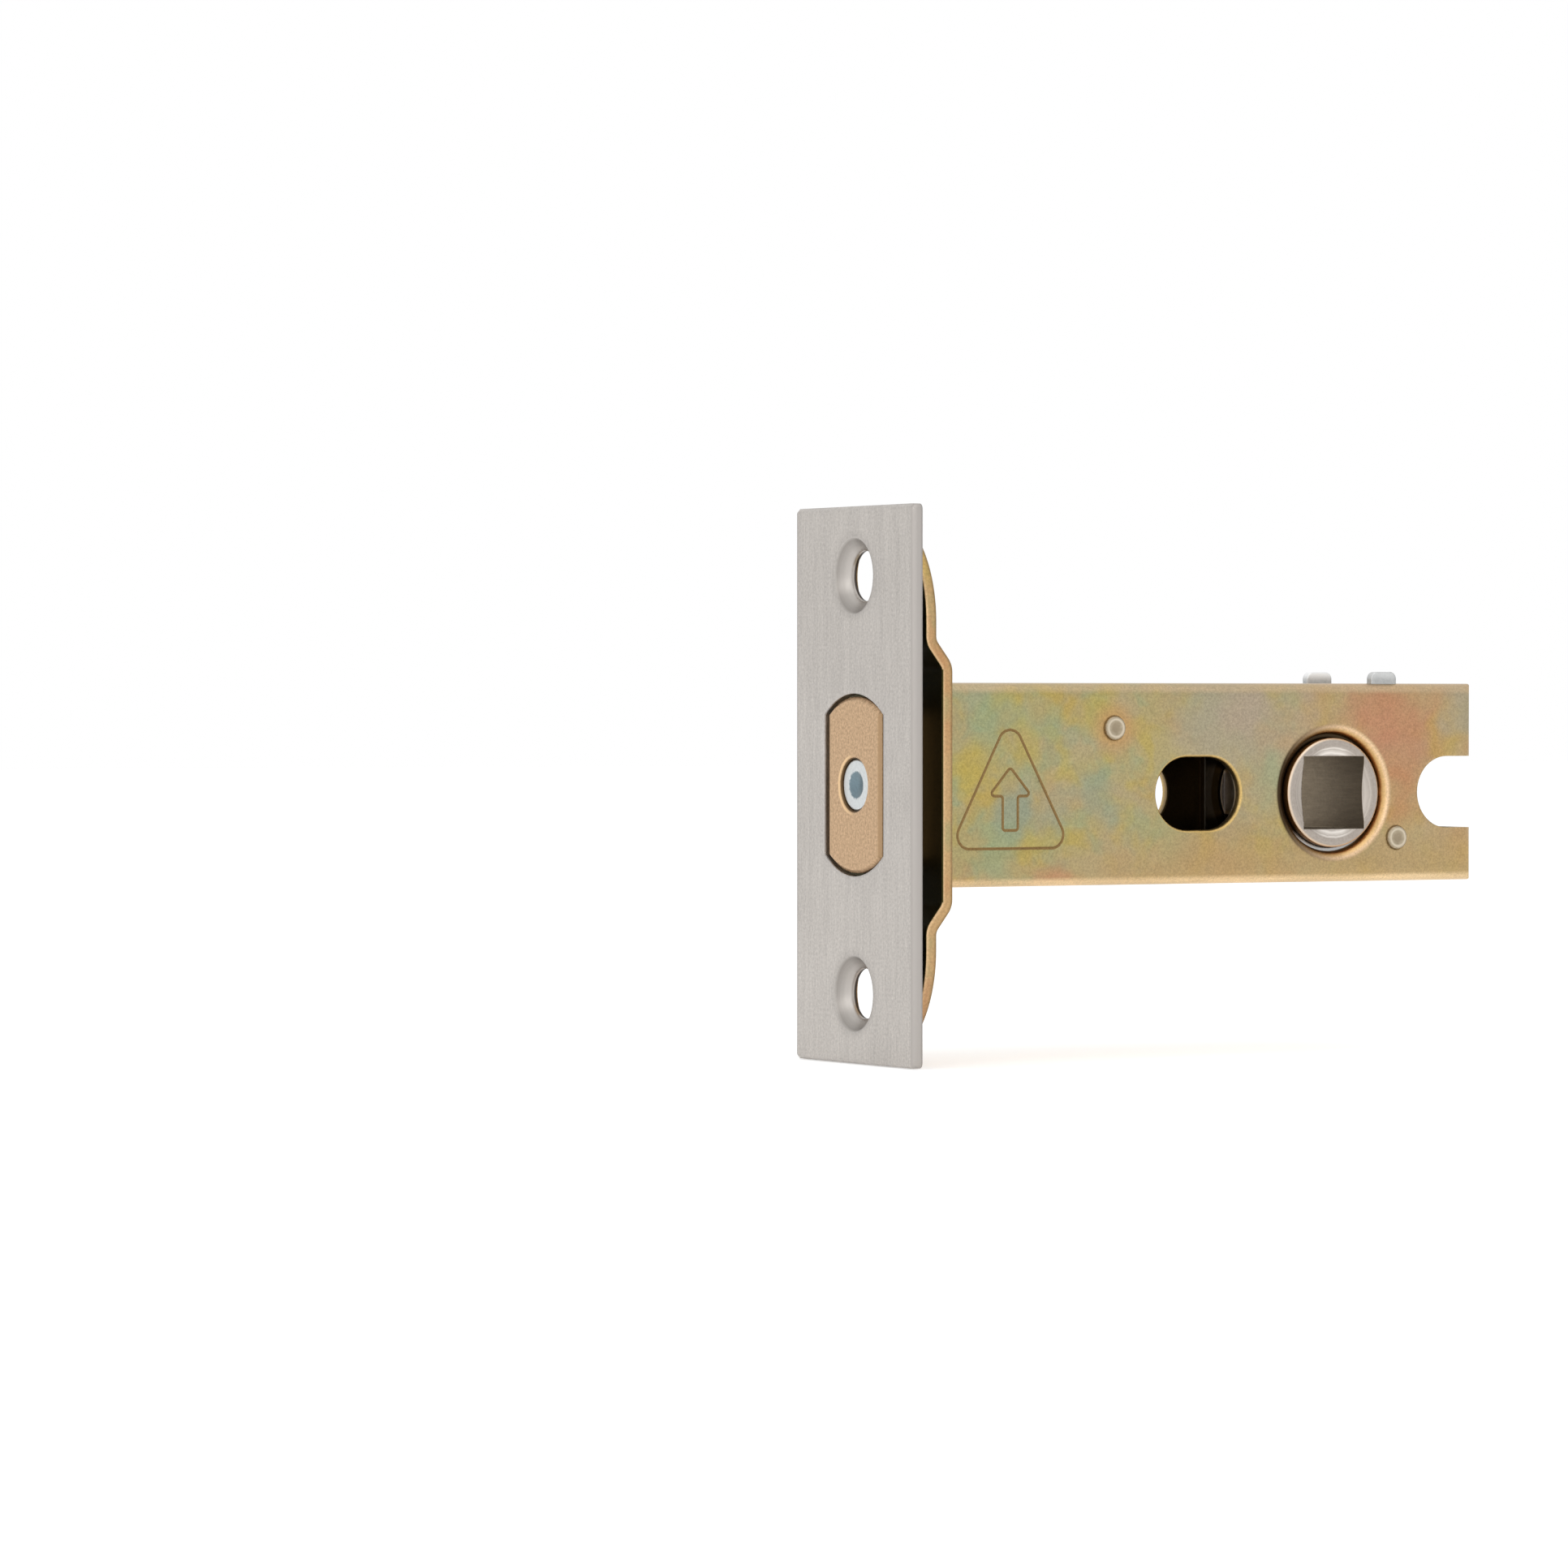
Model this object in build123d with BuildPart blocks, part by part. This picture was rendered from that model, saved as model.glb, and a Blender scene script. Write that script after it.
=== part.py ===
import os
from math import atan2, cos, radians, sin, sqrt, tan

from build123d import *

# Tubular deadbolt, millimetres. X runs from the front of the forend along the case,
# Y across the case and Z up. The bolt is drawn back, flush with the forend.

# Forend plate
forend_height = 60.0
forend_width = 25.0
forend_thickness = 1.2
forend_corner = 0.6
forend_edge = 0.3
screw_spacing = 45.0
screw_hole_radius = 2.75
countersink_radius = 4.15
dimple_neck = 0.6

# Bolt
bolt_diameter = 19.0
bolt_width = 11.0
bolt_length = 26.0
bolt_edge = 0.4
bolt_throw = 12.0
forend_side_gap = 0.85
forend_round_gap = 0.35
inner_side_gap = 0.2
inner_round_gap = 0.2

# Anti-saw pin in the bolt's nose
pin_diameter = 5.65
pin_end_wall = 1.67
pin_recess = 0.33
pin_play = 0.03
pin_edge = 0.2
pin_dimple_diameter = 3.1
pin_dimple_depth = 0.5
pin_bore_chamfer = 0.22

# Inner forend, a joggled strap behind the forend plate
inner_forend_thickness = 1.2
inner_forend_inset = 0.1
ear_gap = 0.55
ear_hole_play = 0.08
strap_front = 3.75
joggle_margin = 1.5
joggle_run = 2.6
joggle_bend = 1.2

# Case, two pressed halves
wall = 1.2
bend_radius = 1.5
bolt_case_gap = 0.3
bolt_side_room = 1.3
case_behind_spindle = 19.0
seam_gap = 0.1
tab_height = 2.4
tab_play = 0.05
punch_round = 0.25

# Spindle and bolt-through openings
backset = 57.0
spindle_square = 8.05
hub_corner_wall = 0.358
hub_play = 0.05
case_hole_play = 0.45
case_hole_round = 1.1
through_slot_length = 11.0
through_slot_height = 8.0
through_slot_ahead = 17.9
rear_notch_height = 8.0
rear_notch_behind = 15.2

# Case rivets
case_rivet_diameter = 2.6
case_rivet_proud = 0.35
rivet_play = 0.02
front_rivet_behind_bolt = 2.2
front_rivet_height = 6.1
rear_rivet_behind = 8.4

# Bearing plates that carry the follower, one against each side of the case
plate_thickness = 0.9
plate_reach = 8.0
plate_notch_gap = 0.8
plate_height_gap = 0.1
plate_corner = 1.5
lug_width = 3.3
lug_proud = 1.3
lug_corner = 0.8
lug_behind = 7.5
lug_play = 0.05

# Follower
flange_step = 1.0
flange_thickness = 1.6
flange_play = 0.2
detent_step = 0.6
dish_radius = 5.2
dish_depth = 1.95
hub_edge = 0.25
arm_rest_angle = 45.0
arm_tip_radius = 1.0
arm_neck = 1.6

# Bolt tail, a flat bar rivetted in the bolt's rear slot
tail_thickness = 4.0
tail_slot_play = 0.05
tail_slot_depth = 9.0
tang_height = 16.0
rail_ceiling_gap = 0.2
rail_bridge = 1.0
rail_hub_gap = 0.25
rail_slot_gap = 0.5
arm_tip_gap = 0.215
drive_play = 0.5
drive_prong = 3.5
guide_play = 0.15
rail_step_ahead = 7.0
tail_rivet_diameter = 3.0
tail_rivet_spread = 9.0
tail_rivet_inset = 0.1

# Detent spring, a leaf under the follower with an eye on the rear rivet
spring_thickness = 0.5
spring_width = 6.0
spring_play = 0.05
spring_flat = 9.0
spring_front = 9.5
eye_floor_gap = 1.8
eye_turn = 270.0

# Sizes that follow from the ones above
case_height = bolt_diameter + 2 * bolt_case_gap + 2 * wall
case_thickness = bolt_width + 2 * bolt_side_room + 2 * wall
case_front = strap_front + inner_forend_thickness
case_end = backset + case_behind_spindle
ceiling = case_height / 2 - wall
side_inside = case_thickness / 2 - wall
hub_radius = spindle_square / sqrt(2) + hub_corner_wall
case_hole_radius = hub_radius + case_hole_play
case_rivet_radius = case_rivet_diameter / 2
arm_radius = bolt_throw / (cos(radians(arm_rest_angle)) + sin(radians(arm_rest_angle)))
rail_top = ceiling - rail_ceiling_gap
notch_top = rail_top - rail_bridge
spindle_z = notch_top - arm_tip_gap - arm_tip_radius - arm_radius
slot_x = backset - through_slot_ahead
notch_x = backset + rear_notch_behind
front_rivet_x = bolt_length + front_rivet_behind_bolt
rear_rivet_x = backset + rear_rivet_behind
rear_rivet_z = eye_floor_gap + spring_thickness + spring_play + case_rivet_radius - ceiling
lug_x = backset + lug_behind
ear_front = forend_thickness + ear_gap
tab_z = case_height / 2 - bend_radius - tab_height / 2
dimple_depth = countersink_radius - screw_hole_radius + dimple_neck
pin_length = bolt_length - tail_slot_depth - pin_recess - pin_end_wall
tail_rivet_radius = tail_rivet_diameter / 2
tail_rivet_x = bolt_length - tail_slot_depth / 2
spindle_axis = Axis((backset, 0, spindle_z), (0, 1, 0))
halves = (("right", -1), ("left", 1))


def dimple_radius(x):
    # back of a dimple, one plate thickness behind its 45 degree countersink
    return countersink_radius + forend_thickness * sqrt(2) - x


def plane_at(y):
    # a plane facing -Y with X to the right and Z up
    return Plane.XZ.offset(-y)


def write(builder, name):
    builder.part.label = name
    export_step(builder.part, f"parts/{name}.step")


os.makedirs("parts", exist_ok=True)

# Forend plate
with BuildPart() as forend_plate:
    with BuildSketch(Plane.YZ):
        RectangleRounded(forend_width, forend_height, forend_corner)
    extrude(amount=forend_thickness)
    chamfer(forend_plate.faces().sort_by(Axis.X)[0].edges(), forend_edge)
    for end in (-1, 1):
        screw_axis = Axis((0, 0, end * screw_spacing / 2), (1, 0, 0))
        screw_plane = Plane((0, 0, end * screw_spacing / 2), x_dir=(1, 0, 0), z_dir=(0, -1, 0))
        with BuildSketch(screw_plane):
            with BuildLine():
                Polyline(
                    (forend_thickness / 2, 0),
                    (forend_thickness / 2, dimple_radius(forend_thickness)),
                    (forend_thickness, dimple_radius(forend_thickness)),
                    (dimple_depth, dimple_radius(dimple_depth)),
                    (dimple_depth, 0),
                    close=True,
                )
            make_face()
        revolve(axis=screw_axis)
        with BuildSketch(screw_plane):
            with BuildLine():
                Polyline(
                    (0, 0),
                    (0, countersink_radius),
                    (countersink_radius - screw_hole_radius, screw_hole_radius),
                    (dimple_depth, screw_hole_radius),
                    (dimple_depth, 0),
                    close=True,
                )
            make_face()
        revolve(axis=screw_axis, mode=Mode.SUBTRACT)
    with BuildSketch(Plane.YZ):
        Circle(bolt_diameter / 2 + forend_round_gap)
        Rectangle(bolt_width + 2 * forend_side_gap, forend_height / 2, mode=Mode.INTERSECT)
    extrude(amount=forend_thickness, mode=Mode.SUBTRACT)
write(forend_plate, "forend_plate")

# Inner forend, bent from one strip, with ears that the dimples of the forend sit in
joggle_near = case_height / 2 + joggle_margin
joggle_far = joggle_near + joggle_run
joggle_angle = atan2(strap_front - ear_front, joggle_run)
joggle_shift = inner_forend_thickness * tan(joggle_angle / 2)
inner_forend_width = forend_width - 2 * inner_forend_inset
inner_forend_height = forend_height - 2 * inner_forend_inset
with BuildPart() as inner_forend:
    ear_end = inner_forend_height / 2
    ear_back = ear_front + inner_forend_thickness
    with BuildSketch(Plane.XZ):
        with BuildLine():
            Polyline(
                (strap_front, 0),
                (strap_front, joggle_near),
                (ear_front, joggle_far),
                (ear_front, ear_end),
                (ear_back, ear_end),
                (ear_back, joggle_far + joggle_shift),
                (case_front, joggle_near + joggle_shift),
                (case_front, 0),
                close=True,
            )
        make_face()
        mirror(about=Plane.XZ)
    extrude(amount=inner_forend_width / 2, both=True)
    for planes, bend in (
        ((ear_front, case_front), joggle_bend + inner_forend_thickness),
        ((ear_back, strap_front), joggle_bend),
    ):
        bends = inner_forend.edges().filter_by(Axis.Y).filter_by(
            lambda edge: joggle_near - 1e-3 < abs(edge.center().Z) < joggle_far + joggle_shift + 1e-3
            and min(abs(edge.center().X - x) for x in planes) < 1e-3
        )
        fillet(bends, bend)
    with BuildSketch(Plane.YZ):
        SlotOverall(inner_forend_height, inner_forend_width, rotation=90)
    extrude(amount=case_front, mode=Mode.INTERSECT)
    with BuildSketch(Plane.YZ):
        Circle(bolt_diameter / 2 + inner_round_gap)
        Rectangle(bolt_width + 2 * inner_side_gap, bolt_diameter + 2, mode=Mode.INTERSECT)
        with Locations((0, screw_spacing / 2), (0, -screw_spacing / 2)):
            Circle(dimple_radius(ear_front) + ear_hole_play)
        with GridLocations(case_thickness - wall, 2 * tab_z, 2, 2):
            Rectangle(wall + 2 * tab_play, tab_height + 2 * tab_play)
    extrude(amount=case_front, mode=Mode.SUBTRACT)
write(inner_forend, "inner_forend")

# Inside of the case
with BuildPart() as cavity:
    with Locations(((case_front + case_end - wall) / 2, 0, 0)):
        Box(case_end - wall - case_front, 2 * side_inside, 2 * ceiling)
    cavity_rim = cavity.edges().filter_by(
        lambda edge: abs(edge.center().Y) > side_inside - 1e-3 and edge.center().X > case_front + 1e-3
    )
    fillet(cavity_rim, bend_radius - wall)

# Case halves, folded round the works and butted along the middle. The lip of the follower's
# hole is rolled in, as two cones that touch the arc of its rounding.
lip_middle = case_hole_round * (1 - sqrt(0.5))
for name, side in halves:
    with BuildPart() as case_half:
        with Locations(((case_front + case_end) / 2, 0, 0)):
            Box(case_end - case_front, case_thickness, case_height)
        case_rim = case_half.edges().filter_by(
            lambda edge: abs(edge.center().Y) > case_thickness / 2 - 1e-3
            and edge.center().X > case_front + 1e-3
        )
        fillet(case_rim, bend_radius)
        with BuildSketch(Plane.XY.offset(spindle_z)):
            with BuildLine():
                Polyline(
                    (backset, side * case_thickness / 2),
                    (backset + case_hole_radius + case_hole_round, side * case_thickness / 2),
                    (backset + case_hole_radius + lip_middle, side * (case_thickness / 2 - lip_middle)),
                    (backset + case_hole_radius, side * (case_thickness / 2 - case_hole_round)),
                    (backset, side * (case_thickness / 2 - case_hole_round)),
                    close=True,
                )
            make_face()
        revolve(axis=spindle_axis, mode=Mode.SUBTRACT)
        add(cavity.part, mode=Mode.SUBTRACT)
        kept = Keep.TOP if side < 0 else Keep.BOTTOM
        split(bisect_by=plane_at(side * seam_gap / 2), keep=kept)
        with BuildSketch(Plane.XZ):
            with Locations((backset, spindle_z)):
                Circle(case_hole_radius)
            with Locations((slot_x, spindle_z)):
                SlotOverall(through_slot_length, through_slot_height)
            with Locations((notch_x, spindle_z)):
                Circle(rear_notch_height / 2)
                Rectangle(case_end - notch_x, rear_notch_height, align=(Align.MIN, Align.CENTER))
            with Locations((front_rivet_x, front_rivet_height), (rear_rivet_x, rear_rivet_z)):
                Circle(case_rivet_radius + rivet_play)
        extrude(amount=case_thickness, both=True, mode=Mode.SUBTRACT)
        outside = case_half.edges().filter_by(
            lambda edge: abs(edge.center().Y) > case_thickness / 2 - 1e-3
        )
        through_slot = outside.filter_by(
            lambda edge: abs(edge.center().X - slot_x) < through_slot_length / 2
            and abs(edge.center().Z - spindle_z) < through_slot_height / 2 + 1e-3
        )
        chamfer(through_slot, punch_round)
        with Locations(
            ((strap_front + case_front) / 2, side * (case_thickness - wall) / 2, tab_z),
            ((strap_front + case_front) / 2, side * (case_thickness - wall) / 2, -tab_z),
        ):
            Box(inner_forend_thickness, wall, tab_height)
        with Locations((lug_x, side * (side_inside - plate_thickness / 2), ceiling + wall)):
            Box(lug_width + 2 * lug_play, plate_thickness + 2 * lug_play, 3 * wall, mode=Mode.SUBTRACT)
    write(case_half, f"case_{name}_half")

# Rivets through the case: the front one also guides the tail, the rear one holds the spring
for name, x, z in (
    ("front", front_rivet_x, front_rivet_height),
    ("rear", rear_rivet_x, rear_rivet_z),
):
    with BuildPart() as case_rivet:
        with BuildSketch(Plane.XZ):
            with Locations((x, z)):
                Circle(case_rivet_radius)
        extrude(amount=case_thickness / 2 + case_rivet_proud, both=True)
    write(case_rivet, f"{name}_case_rivet")

# Bearing plates, each held by a lug through the top of the case and by the rear rivet
plate_front = backset - plate_reach
plate_rear = notch_x - rear_notch_height / 2 - plate_notch_gap
plate_half_height = ceiling - (bend_radius - wall) - plate_height_gap
for name, side in halves:
    with BuildPart() as bearing_plate:
        plate_face = side_inside if side > 0 else plate_thickness - side_inside
        with BuildSketch(plane_at(plate_face)):
            with Locations(((plate_front + plate_rear) / 2, 0)):
                RectangleRounded(plate_rear - plate_front, 2 * plate_half_height, plate_corner)
            lug_height = case_height / 2 + lug_proud
            with Locations((lug_x, 0)):
                Rectangle(lug_width, lug_height, align=(Align.CENTER, Align.MIN))
            with Locations((backset, spindle_z)):
                Circle(hub_radius + hub_play, mode=Mode.SUBTRACT)
            with Locations((rear_rivet_x, rear_rivet_z)):
                Circle(case_rivet_radius + rivet_play, mode=Mode.SUBTRACT)
        extrude(amount=plate_thickness)
        lug_edges = bearing_plate.edges().filter_by(Axis.Y).group_by(Axis.Z)[-1]
        fillet(lug_edges, lug_corner)
    write(bearing_plate, f"{name}_bearing_plate")

# Follower: hub with a square hole, two flanges inside the plates, detent flats and the drive arm
flange_radius = hub_radius + flange_step
flange_outside = side_inside - plate_thickness - flange_play
detent_radius = hub_radius - detent_step
hub_half = case_thickness / 2
arm_direction = (cos(radians(arm_rest_angle)), 0, sin(radians(arm_rest_angle)))
with BuildPart() as follower:
    with BuildSketch(Plane.XZ):
        with Locations((backset, spindle_z)):
            Circle(hub_radius)
    extrude(amount=hub_half, both=True)
    chamfer(follower.edges().filter_by(GeomType.CIRCLE), hub_edge)
    for flange_face in (flange_outside, flange_thickness - flange_outside):
        with BuildSketch(plane_at(flange_face)):
            with Locations((backset, spindle_z)):
                Circle(flange_radius)
        extrude(amount=flange_thickness)
    flat_depth = flange_radius - detent_radius
    with Locations((backset, 0, spindle_z - detent_radius - flat_depth / 2)):
        Box(2 * flange_radius, 2 * flange_outside, flat_depth, mode=Mode.SUBTRACT)
    with Locations((backset - detent_radius - flat_depth / 2, 0, spindle_z)):
        Box(flat_depth, 2 * flange_outside, 2 * flange_radius, mode=Mode.SUBTRACT)
    with BuildSketch(Plane((backset, 0, spindle_z), x_dir=arm_direction, z_dir=(0, -1, 0))):
        Rectangle(arm_radius, arm_neck, align=(Align.MIN, Align.CENTER))
        with Locations((arm_radius, 0)):
            Circle(arm_tip_radius)
    extrude(amount=tail_thickness / 2, both=True)
    with BuildSketch(Plane.XZ):
        with Locations((backset, spindle_z)):
            Rectangle(spindle_square, spindle_square)
    extrude(amount=hub_half, both=True, mode=Mode.SUBTRACT)
    for end in (-1, 1):
        with BuildSketch(Plane.XY.offset(spindle_z)):
            with BuildLine():
                Polyline(
                    (backset, end * hub_half),
                    (backset + dish_radius, end * hub_half),
                    (backset, end * (hub_half - dish_depth)),
                    close=True,
                )
            make_face()
        revolve(axis=spindle_axis, mode=Mode.SUBTRACT)
write(follower, "follower")

# Bolt head, round with two flats, bored for the pin and slotted for the tail
pin_bore_radius = pin_diameter / 2 + pin_play
with BuildPart() as bolt_head:
    with BuildSketch(Plane.YZ):
        Circle(bolt_diameter / 2)
        Rectangle(bolt_width, bolt_diameter, mode=Mode.INTERSECT)
    extrude(amount=bolt_length)
    chamfer(bolt_head.faces().sort_by(Axis.X)[0].edges(), bolt_edge)
    with BuildSketch(Plane.YZ):
        Circle(pin_bore_radius)
    extrude(amount=pin_recess + pin_length, mode=Mode.SUBTRACT)
    bore_mouth = bolt_head.faces().sort_by(Axis.X)[0].edges().filter_by(
        lambda edge: edge.geom_type == GeomType.CIRCLE and abs(edge.radius - pin_bore_radius) < 1e-3
    )
    chamfer(bore_mouth, pin_bore_chamfer)
    with Locations((bolt_length - tail_slot_depth / 2, 0, 0)):
        Box(tail_slot_depth, tail_thickness + 2 * tail_slot_play, bolt_diameter, mode=Mode.SUBTRACT)
    with BuildSketch(Plane.XZ):
        with Locations((tail_rivet_x, tail_rivet_spread / 2), (tail_rivet_x, -tail_rivet_spread / 2)):
            Circle(tail_rivet_radius + rivet_play)
    extrude(amount=bolt_width / 2, both=True, mode=Mode.SUBTRACT)
write(bolt_head, "bolt_head")

with BuildPart() as anti_saw_pin:
    with BuildSketch(Plane.YZ.offset(pin_recess)):
        Circle(pin_diameter / 2)
    extrude(amount=pin_length)
    chamfer(anti_saw_pin.faces().sort_by(Axis.X)[0].edges(), pin_edge)
    with BuildSketch(Plane.XY):
        with BuildLine():
            Polyline(
                (pin_recess, 0),
                (pin_recess, pin_dimple_diameter / 2),
                (pin_recess + pin_dimple_depth, 0),
                close=True,
            )
        make_face()
    revolve(axis=Axis.X, mode=Mode.SUBTRACT)
write(anti_saw_pin, "anti_saw_pin")

# Bolt tail: a tang in the bolt, then a rail over the follower with the notch that its arm drives
rail_low = spindle_z + through_slot_height / 2 + rail_slot_gap
rail_over_hub = spindle_z + hub_radius + rail_hub_gap
rail_step = backset - rail_step_ahead
drive_x = backset + arm_radius * cos(radians(arm_rest_angle))
drive_half = arm_tip_radius + drive_play
rail_end = drive_x + drive_half + drive_prong
guide_height = case_rivet_diameter + 2 * guide_play
with BuildPart() as bolt_tail:
    with BuildSketch(Plane.XZ):
        with BuildLine():
            Polyline(
                (bolt_length - tail_slot_depth, -tang_height / 2),
                (bolt_length - tail_slot_depth, tang_height / 2),
                (bolt_length, tang_height / 2),
                (bolt_length, rail_top),
                (rail_end, rail_top),
                (rail_end, rail_over_hub),
                (rail_step, rail_over_hub),
                (rail_step, rail_low),
                (bolt_length, rail_low),
                (bolt_length, -tang_height / 2),
                close=True,
            )
        make_face()
        with Locations((front_rivet_x + bolt_throw / 2, front_rivet_height)):
            SlotOverall(bolt_throw + guide_height, guide_height, mode=Mode.SUBTRACT)
        with Locations((drive_x, notch_top)):
            Rectangle(
                2 * drive_half,
                notch_top - rail_over_hub,
                align=(Align.CENTER, Align.MAX),
                mode=Mode.SUBTRACT,
            )
        with Locations((tail_rivet_x, tail_rivet_spread / 2), (tail_rivet_x, -tail_rivet_spread / 2)):
            Circle(tail_rivet_radius + rivet_play, mode=Mode.SUBTRACT)
    extrude(amount=tail_thickness / 2, both=True)
write(bolt_tail, "bolt_tail")

for name, end in (("upper", 1), ("lower", -1)):
    with BuildPart() as tail_rivet:
        with BuildSketch(Plane.XZ):
            with Locations((tail_rivet_x, end * tail_rivet_spread / 2)):
                Circle(tail_rivet_radius)
        extrude(amount=bolt_width / 2 - tail_rivet_inset, both=True)
    write(tail_rivet, f"{name}_tail_rivet")

# Detent spring: eye on the rear rivet, a flat under the follower and a foot on the case floor
eye_radius = case_rivet_radius + spring_play + spring_thickness / 2
flat_z = spindle_z - detent_radius - spring_play - spring_thickness / 2
foot_z = spring_play + spring_thickness / 2 - ceiling
with BuildPart() as detent_spring:
    with BuildSketch(Plane.XZ):
        with BuildLine() as leaf:
            CenterArc((rear_rivet_x, rear_rivet_z), eye_radius, -90, eye_turn)
            Polyline(
                (rear_rivet_x, rear_rivet_z - eye_radius),
                (rear_rivet_x - eye_radius, rear_rivet_z - eye_radius),
                (backset + spring_flat / 2, flat_z),
                (backset - spring_flat / 2, flat_z),
                (backset - spring_front, foot_z),
            )
        trace(line_width=spring_thickness)
    extrude(amount=spring_width / 2, both=True)
write(detent_spring, "detent_spring")
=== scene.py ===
import math
import bmesh
import bpy
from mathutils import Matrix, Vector


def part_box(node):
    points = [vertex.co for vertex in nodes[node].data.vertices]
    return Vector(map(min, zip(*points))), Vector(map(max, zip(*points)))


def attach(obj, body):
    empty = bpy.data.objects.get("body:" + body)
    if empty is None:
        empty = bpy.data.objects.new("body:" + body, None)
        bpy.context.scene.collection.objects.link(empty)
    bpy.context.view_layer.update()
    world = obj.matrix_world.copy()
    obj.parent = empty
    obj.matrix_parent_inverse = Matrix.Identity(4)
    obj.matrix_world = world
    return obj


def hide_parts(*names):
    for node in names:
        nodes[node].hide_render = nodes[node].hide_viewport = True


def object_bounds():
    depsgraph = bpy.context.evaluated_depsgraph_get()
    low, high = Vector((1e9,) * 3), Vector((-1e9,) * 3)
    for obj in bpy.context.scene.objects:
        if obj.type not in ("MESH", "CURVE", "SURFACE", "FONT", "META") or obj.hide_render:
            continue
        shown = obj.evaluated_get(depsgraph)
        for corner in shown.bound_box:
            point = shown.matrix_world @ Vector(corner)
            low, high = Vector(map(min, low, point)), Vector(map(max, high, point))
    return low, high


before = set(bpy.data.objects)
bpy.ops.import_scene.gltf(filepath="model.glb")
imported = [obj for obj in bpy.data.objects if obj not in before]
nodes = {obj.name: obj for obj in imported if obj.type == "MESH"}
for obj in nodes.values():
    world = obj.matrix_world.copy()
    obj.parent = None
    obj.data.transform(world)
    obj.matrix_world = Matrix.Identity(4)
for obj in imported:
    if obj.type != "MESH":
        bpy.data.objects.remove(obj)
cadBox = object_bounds()
mm = 0.001
weld = 1e-7  # points nearer than this, in metres, become one
origin = (0, 0, 0)
roundX = (0, 1, 1)  # takes x out of a place, for what is round about it
roundY = (1, 0, 1)
print("frame loaded:", len(nodes), "nodes")

# places that several finishes mark, in millimetres
spindleAt = (57.0, 0.0, -1.1)
frontRivetAt = (28.2, 0.0, 6.1)
rearRivetAt = (65.4, 0.0, -6.15)


# Shader helpers

class Graph:
    # places nodes in a tree and joins them, so a material reads top to bottom
    def __init__(self, tree):
        self.tree = tree

    def put(self, value, socket):
        if isinstance(value, bpy.types.NodeSocket):
            self.tree.links.new(value, socket)
        elif value is not None:
            socket.default_value = (*value, 1) if socket.type == "RGBA" else value

    def node(self, kind, *values, **settings):
        made = self.tree.nodes.new(kind)
        for name, value in settings.items():
            setattr(made, name, value)
        for value, socket in zip(values, made.inputs):
            self.put(value, socket)
        return made

    def fill(self, made, values):
        for name, value in values.items():
            self.put(value, made.inputs[name])
        return made.outputs

    def math(self, operation, *values, clamp=False):
        return self.node("ShaderNodeMath", *values, operation=operation, use_clamp=clamp).outputs[0]

    def times(self, first, second):
        return self.math("MULTIPLY", first, second)

    def vector(self, operation, *values):
        made = self.node("ShaderNodeVectorMath", *values, operation=operation)
        return made.outputs["Value" if operation in ("LENGTH", "DOT_PRODUCT") else "Vector"]

    def split(self, vector):
        return self.node("ShaderNodeSeparateXYZ", vector).outputs

    def noise(self, vector, scale, detail=2.0, roughness=0.5, distortion=0.0):
        made = self.node("ShaderNodeTexNoise")
        values = {"Vector": vector, "Scale": scale, "Detail": detail, "Roughness": roughness,
                  "Distortion": distortion}
        return self.fill(made, values)["Fac"]

    def spread(self, value, low, high, toLow=0.0, toHigh=1.0, smooth=False):
        made = self.node("ShaderNodeMapRange", interpolation_type="SMOOTHSTEP" if smooth else "LINEAR")
        values = {"Value": value, "From Min": low, "From Max": high, "To Min": toLow, "To Max": toHigh}
        return self.fill(made, values)[0]

    def around(self, value, toLow=0.0, toHigh=1.0, reach=0.2):
        # for grain, streaks and rings, which swing about 0
        return self.spread(value, -reach, reach, toLow, toHigh)

    def mix(self, amount, first, second, blend="MIX"):
        made = self.node("ShaderNodeMix", data_type="RGBA", blend_type=blend)
        self.put(amount, made.inputs["Factor"])
        self.put(first, made.inputs[6])  # 6 and 7 are the node's colours
        self.put(second, made.inputs[7])
        return made.outputs[2]

    def ramp(self, value, stops):
        made = self.node("ShaderNodeValToRGB", value)
        band = made.color_ramp
        while len(band.elements) < len(stops):
            band.elements.new(0.5)
        for element, (place, colour) in zip(band.elements, stops):
            element.position = place
            element.color = (*colour, 1)
        return made.outputs[0]

    def group(self, tree, **values):
        return self.fill(self.node("ShaderNodeGroup", node_tree=tree), values)

    def place(self):
        # object coordinates in millimetres
        spot = self.node("ShaderNodeTexCoord").outputs["Object"]
        return self.vector("MULTIPLY", spot, (1 / mm,) * 3)


def newGroup(name, inputs, outputs):
    # inputs are numbers and vectors with their first values, and only a normal comes out as a vector
    tree = bpy.data.node_groups.new(name, "ShaderNodeTree")
    for label, value in inputs.items():
        kind = "NodeSocketFloat" if isinstance(value, float) else "NodeSocketVector"
        tree.interface.new_socket(label, in_out="INPUT", socket_type=kind).default_value = value
    for label in outputs:
        kind = "NodeSocketVector" if label == "Normal" else "NodeSocketFloat"
        tree.interface.new_socket(label, in_out="OUTPUT", socket_type=kind)
    g = Graph(tree)
    return tree, g, g.node("NodeGroupInput").outputs, g.node("NodeGroupOutput").inputs


def makeFineGrain():
    # sandy grain of plated and cast metal: a value about 0 and a height
    tree, g, given, out = newGroup("fineGrain", {"Place": origin, "Size": 0.2}, ("Grain", "Height"))
    perMm = g.math("DIVIDE", 1.0, given["Size"])
    height = g.noise(given["Place"], perMm, detail=3.0, roughness=0.65)
    g.put(g.math("SUBTRACT", height, 0.5), out["Grain"])
    g.put(height, out["Height"])
    return tree


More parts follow.
